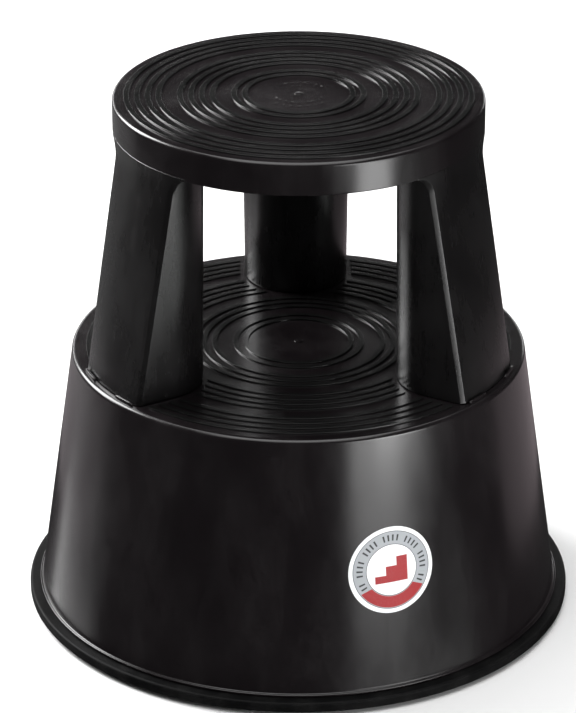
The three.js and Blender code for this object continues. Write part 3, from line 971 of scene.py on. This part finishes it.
def metal(name, base, low, high):
    """Zinc-plated steel with fine drawing marks and cloudy gloss."""
    n = Nodes(name)
    cloud = n.noise(180, 3, 0.6)
    marks = n.noise(900, 2, 0.5, (1, 1, 0.06))
    tone = n.mix(n.spread(cloud, 0.0, 1.0), base, shade(base, 0.8))
    n.link(tone, n.shader.inputs["Base Color"])
    n.link(n.spread(marks, low, high), n.shader.inputs["Roughness"])
    n.bump([(marks, 0.00001), (cloud, 0.00002)])
    n.set(Metallic=1.0)
    return n.material


def pale_plastic(name, base, low, high):
    """Plain moulded plastic with cloudy gloss and a fine grain."""
    n = Nodes(name)
    cloud = n.noise(90, 3, 0.55)
    grain = n.noise(2200, 2, 0.6)
    tone = n.mix(n.spread(cloud, 0.0, 1.0), base, shade(base, 0.88))
    n.link(tone, n.shader.inputs["Base Color"])
    n.link(n.spread(cloud, low, high), n.shader.inputs["Roughness"])
    n.bump([(cloud, 0.00004), (grain, 0.000012)])
    return n.material


def label_print():
    """Round sticker: white rim, grey band with plain ticks, and a two-step pictogram."""
    n = Nodes("label_print")
    turned = n.node("ShaderNodeMapping")
    turned.inputs["Rotation"].default_value = (0, 0, -math.radians(LABEL_AZIMUTH))
    n.link(n.place, turned.inputs["Vector"])
    split = n.node("ShaderNodeSeparateXYZ")
    n.link(turned.outputs["Vector"], split.inputs["Vector"])

    def product(first, *others):
        for other in others:
            first = n.math("MULTIPLY", first, other)
        return first

    across = product(split.outputs["Y"], 1 / MM)
    up = product(n.math("SUBTRACT", split.outputs["Z"], LABEL_Z * MM), math.hypot(1, WALL_SLOPE) / MM)
    radius = n.math("SQRT", n.math("ADD", product(across, across), product(up, up)))
    angle = n.math("ARCTAN2", up, across)

    def inside(value, low, high, soft=0.12):
        """1 between low and high, with a soft printed edge."""
        rise = n.spread(value, 0.0, 1.0, low - soft, low + soft)
        fall = n.spread(value, 1.0, 0.0, high - soft, high + soft)
        return product(rise, fall)

    def block(x0, x1, y0, y1):
        return product(inside(across, x0, x1), inside(up, y0, y1))

    def any_of(*masks):
        total = masks[0]
        for mask in masks[1:]:
            total = n.math("MAXIMUM", total, mask)
        return total

    white, pale = (0.93, 0.94, 0.95, 1.0), (0.55, 0.54, 0.52, 1.0)
    grey, ink = (0.36, 0.38, 0.40, 1.0), (0.012, 0.012, 0.014, 1.0)
    line, red = (0.04, 0.04, 0.045, 1.0), (0.33, 0.006, 0.010, 1.0)
    band = inside(radius, 20.9, 31.2)
    rims = any_of(inside(radius, 20.5, 21.0, 0.1), inside(radius, 31.1, 31.6, 0.1))
    turns = n.math("FRACT", product(n.math("ADD", angle, math.pi), 44 / (2 * math.pi)))
    groups = n.math("GREATER_THAN", n.math("SINE", product(angle, 9.0)), -0.82)
    upper = n.math("GREATER_THAN", up, -14.0)
    ticks = product(inside(radius, 23.6, 28.6), inside(turns, 0.30, 0.66, 0.06), groups, upper)
    stairs = any_of(
        block(-14.0, 13.0, -10.0, -4.0), block(-5.0, 13.0, -4.2, 3.2), block(4.0, 13.0, 3.0, 10.4)
    )
    bow_top = n.math("SUBTRACT", -6.0, product(n.math("ABSOLUTE", across), 0.42))
    bow = product(inside(radius, 21.4, 30.6), n.math("LESS_THAN", up, bow_top))
    colour = white
    for mask, paint in ((band, grey), (ticks, ink), (bow, red), (rims, line), (stairs, red)):
        colour = n.mix(mask, colour, paint)
    fibre = n.noise(900, 3, 0.6)
    n.link(n.mix(n.spread(fibre, 0.0, 0.05), colour, pale), n.shader.inputs["Base Color"])
    n.link(n.spread(n.noise(70, 3), 0.30, 0.42), n.shader.inputs["Roughness"])
    n.bump([(n.noise(120, 2), 0.00004), (fibre, 0.000006)])
    n.set(IOR=1.36)
    return n.material


# ---------------------------------------------------------------------------
# Stage: floor, light and camera
# ---------------------------------------------------------------------------
def floor():
    """A pale floor that lets the lights below it reach the stool's walls."""
    mesh = bpy.data.meshes.new("floor")
    size = 12.0
    corners = [(-size, -size, 0), (size, -size, 0), (size, size, 0), (-size, size, 0)]
    mesh.from_pydata(corners, [], [(0, 1, 2, 3)])
    plane = bpy.data.objects.new("floor", mesh)
    bpy.context.scene.collection.objects.link(plane)
    n = Nodes("floor_paint")
    n.set(Base_Color=(0.9, 0.9, 0.9, 1.0), Roughness=0.9)
    mesh.materials.append(n.material)
    plane.visible_glossy = False
    plane.visible_shadow = False


def softbox(name, azimuth, elevation, spans, radiance, colour=(1, 1, 1), distance=3.0):
    """A rectangular light that fills the given spans of azimuth and elevation, seen from the stool."""
    a, e = math.radians(azimuth), math.radians(elevation)
    light = bpy.data.lights.new(name, "AREA")
    light.shape = "RECTANGLE"
    light.size, light.size_y = (2 * distance * math.tan(math.radians(span) / 2) for span in spans)
    light.energy = radiance * math.pi * light.size * light.size_y
    light.color = colour
    lamp = bpy.data.objects.new(name, light)
    out = Vector((math.cos(a) * math.cos(e), math.sin(a) * math.cos(e), math.sin(e)))
    lamp.location = Vector((0, 0, 0.2)) + out * distance
    lamp.rotation_euler = out.to_track_quat("Z", "Y").to_euler()
    lamp.visible_camera = False
    bpy.context.scene.collection.objects.link(lamp)


def world(strength):
    made = bpy.data.worlds.new("studio")
    bpy.context.scene.world = made
    made.use_nodes = True
    background = made.node_tree.nodes["Background"]
    background.inputs["Color"].default_value = (1, 1, 1, 1)
    background.inputs["Strength"].default_value = strength


def studio():
    """Soft cards, each named after what shows it. A near one is seen from one height only."""
    near = 0.70
    floor()
    world(0.03)
    softbox("wall_strip", -55, -4, (24, 18), 6.2)
    softbox("wall_fade", -37, -3, (16, 14), 2.2)
    softbox("skirt_strip", -48.5, -1, (20, 13), 7.6, distance=near)
    softbox("side_card", -32, -30, (36, 18), 1.5, (0.96, 1.0, 0.97))
    softbox("left_edge", 140, -20.5, (64, 14), 0.32, (1.0, 0.90, 0.94), distance=near)
    softbox("left_skirt", 151, -27.5, (34, 8), 1.9)
    softbox("left_leg", 128, -16, (46, 9), 0.22)
    softbox("right_edge", 42, -20, (64, 15), 0.36, (1.0, 0.84, 0.89), distance=near)
    softbox("backdrop", 98, 6, (84, 11), 3.4)
    softbox("left_key", 147, 30, (30, 34), 18.0)
    softbox("front_soft", -95, 62, (60, 36), 2.2)
    softbox("overhead", 90, 84, (50, 50), 3.0)


def camera():
    """A long lens, above and in front of the stool, aimed a little low and left of its middle."""
    distance, elevation, turn = 2.924, math.radians(24.8), math.radians(1.0)
    target = Vector((0, 0, 0.215))
    flat, rise = math.cos(elevation), math.sin(elevation)
    back = Vector((-math.sin(turn) * flat, -math.cos(turn) * flat, rise))
    right = Vector((math.cos(turn), -math.sin(turn), 0))
    up = right.cross(-back).normalized()
    lens = bpy.data.cameras.new("camera")
    lens.lens = 184.5
    lens.sensor_width = 36.0
    eye = bpy.data.objects.new("camera", lens)
    eye.location = target + back * distance
    aim = target - right * 0.0083 - up * 0.0098
    eye.rotation_euler = (eye.location - aim).to_track_quat("Z", "Y").to_euler()
    bpy.context.scene.collection.objects.link(eye)
    bpy.context.scene.camera = eye


# ---------------------------------------------------------------------------
# The stool
# ---------------------------------------------------------------------------
bpy.context.scene.view_settings.view_transform = "Standard"
camera()
studio()

SHELL = polypropylene("shell_plastic", (0.0050, 0.0037, 0.0043, 1.0), 0.19, 0.27)
LEG = polypropylene("leg_plastic", (0.0040, 0.0036, 0.0038, 1.0), 0.21, 0.34, wave=0.0003, dust=0.010)
TREAD = polypropylene("tread_plastic", (0.0045, 0.0045, 0.0045, 1.0), 0.15, 0.23, grain=0.00003)
LOOKS = {
    "inner": polypropylene("inner_plastic", (0.010, 0.010, 0.0105, 1.0), 0.32, 0.42),
    "nylon": polypropylene("fork_nylon", (0.018, 0.018, 0.019, 1.0), 0.38, 0.5, grain=0.00003),
    "acetal": pale_plastic("bush_acetal", (0.72, 0.70, 0.64, 1.0), 0.35, 0.5),
    "hub": pale_plastic("hub_plastic", (0.14, 0.145, 0.15, 1.0), 0.45, 0.6),
    "tyre": rubber("tyre_rubber", (0.022, 0.022, 0.023, 1.0), 0.6, 0.8),
    "zinc": metal("zinc_steel", (0.60, 0.60, 0.59, 1.0), 0.22, 0.42),
    "spring": metal("spring_steel", (0.40, 0.40, 0.41, 1.0), 0.28, 0.5),
}

upper_step(SHELL, TREAD, LEG)
lower_drum(SHELL, TREAD)
floor_ring(rubber("ring_rubber", (0.0028, 0.0028, 0.0030, 1.0), 0.46, 0.62))
label(label_print())
leg_screws(LOOKS["zinc"])
for where, azimuth in CASTOR_AZIMUTHS.items():
    castor(where, azimuth, LOOKS)
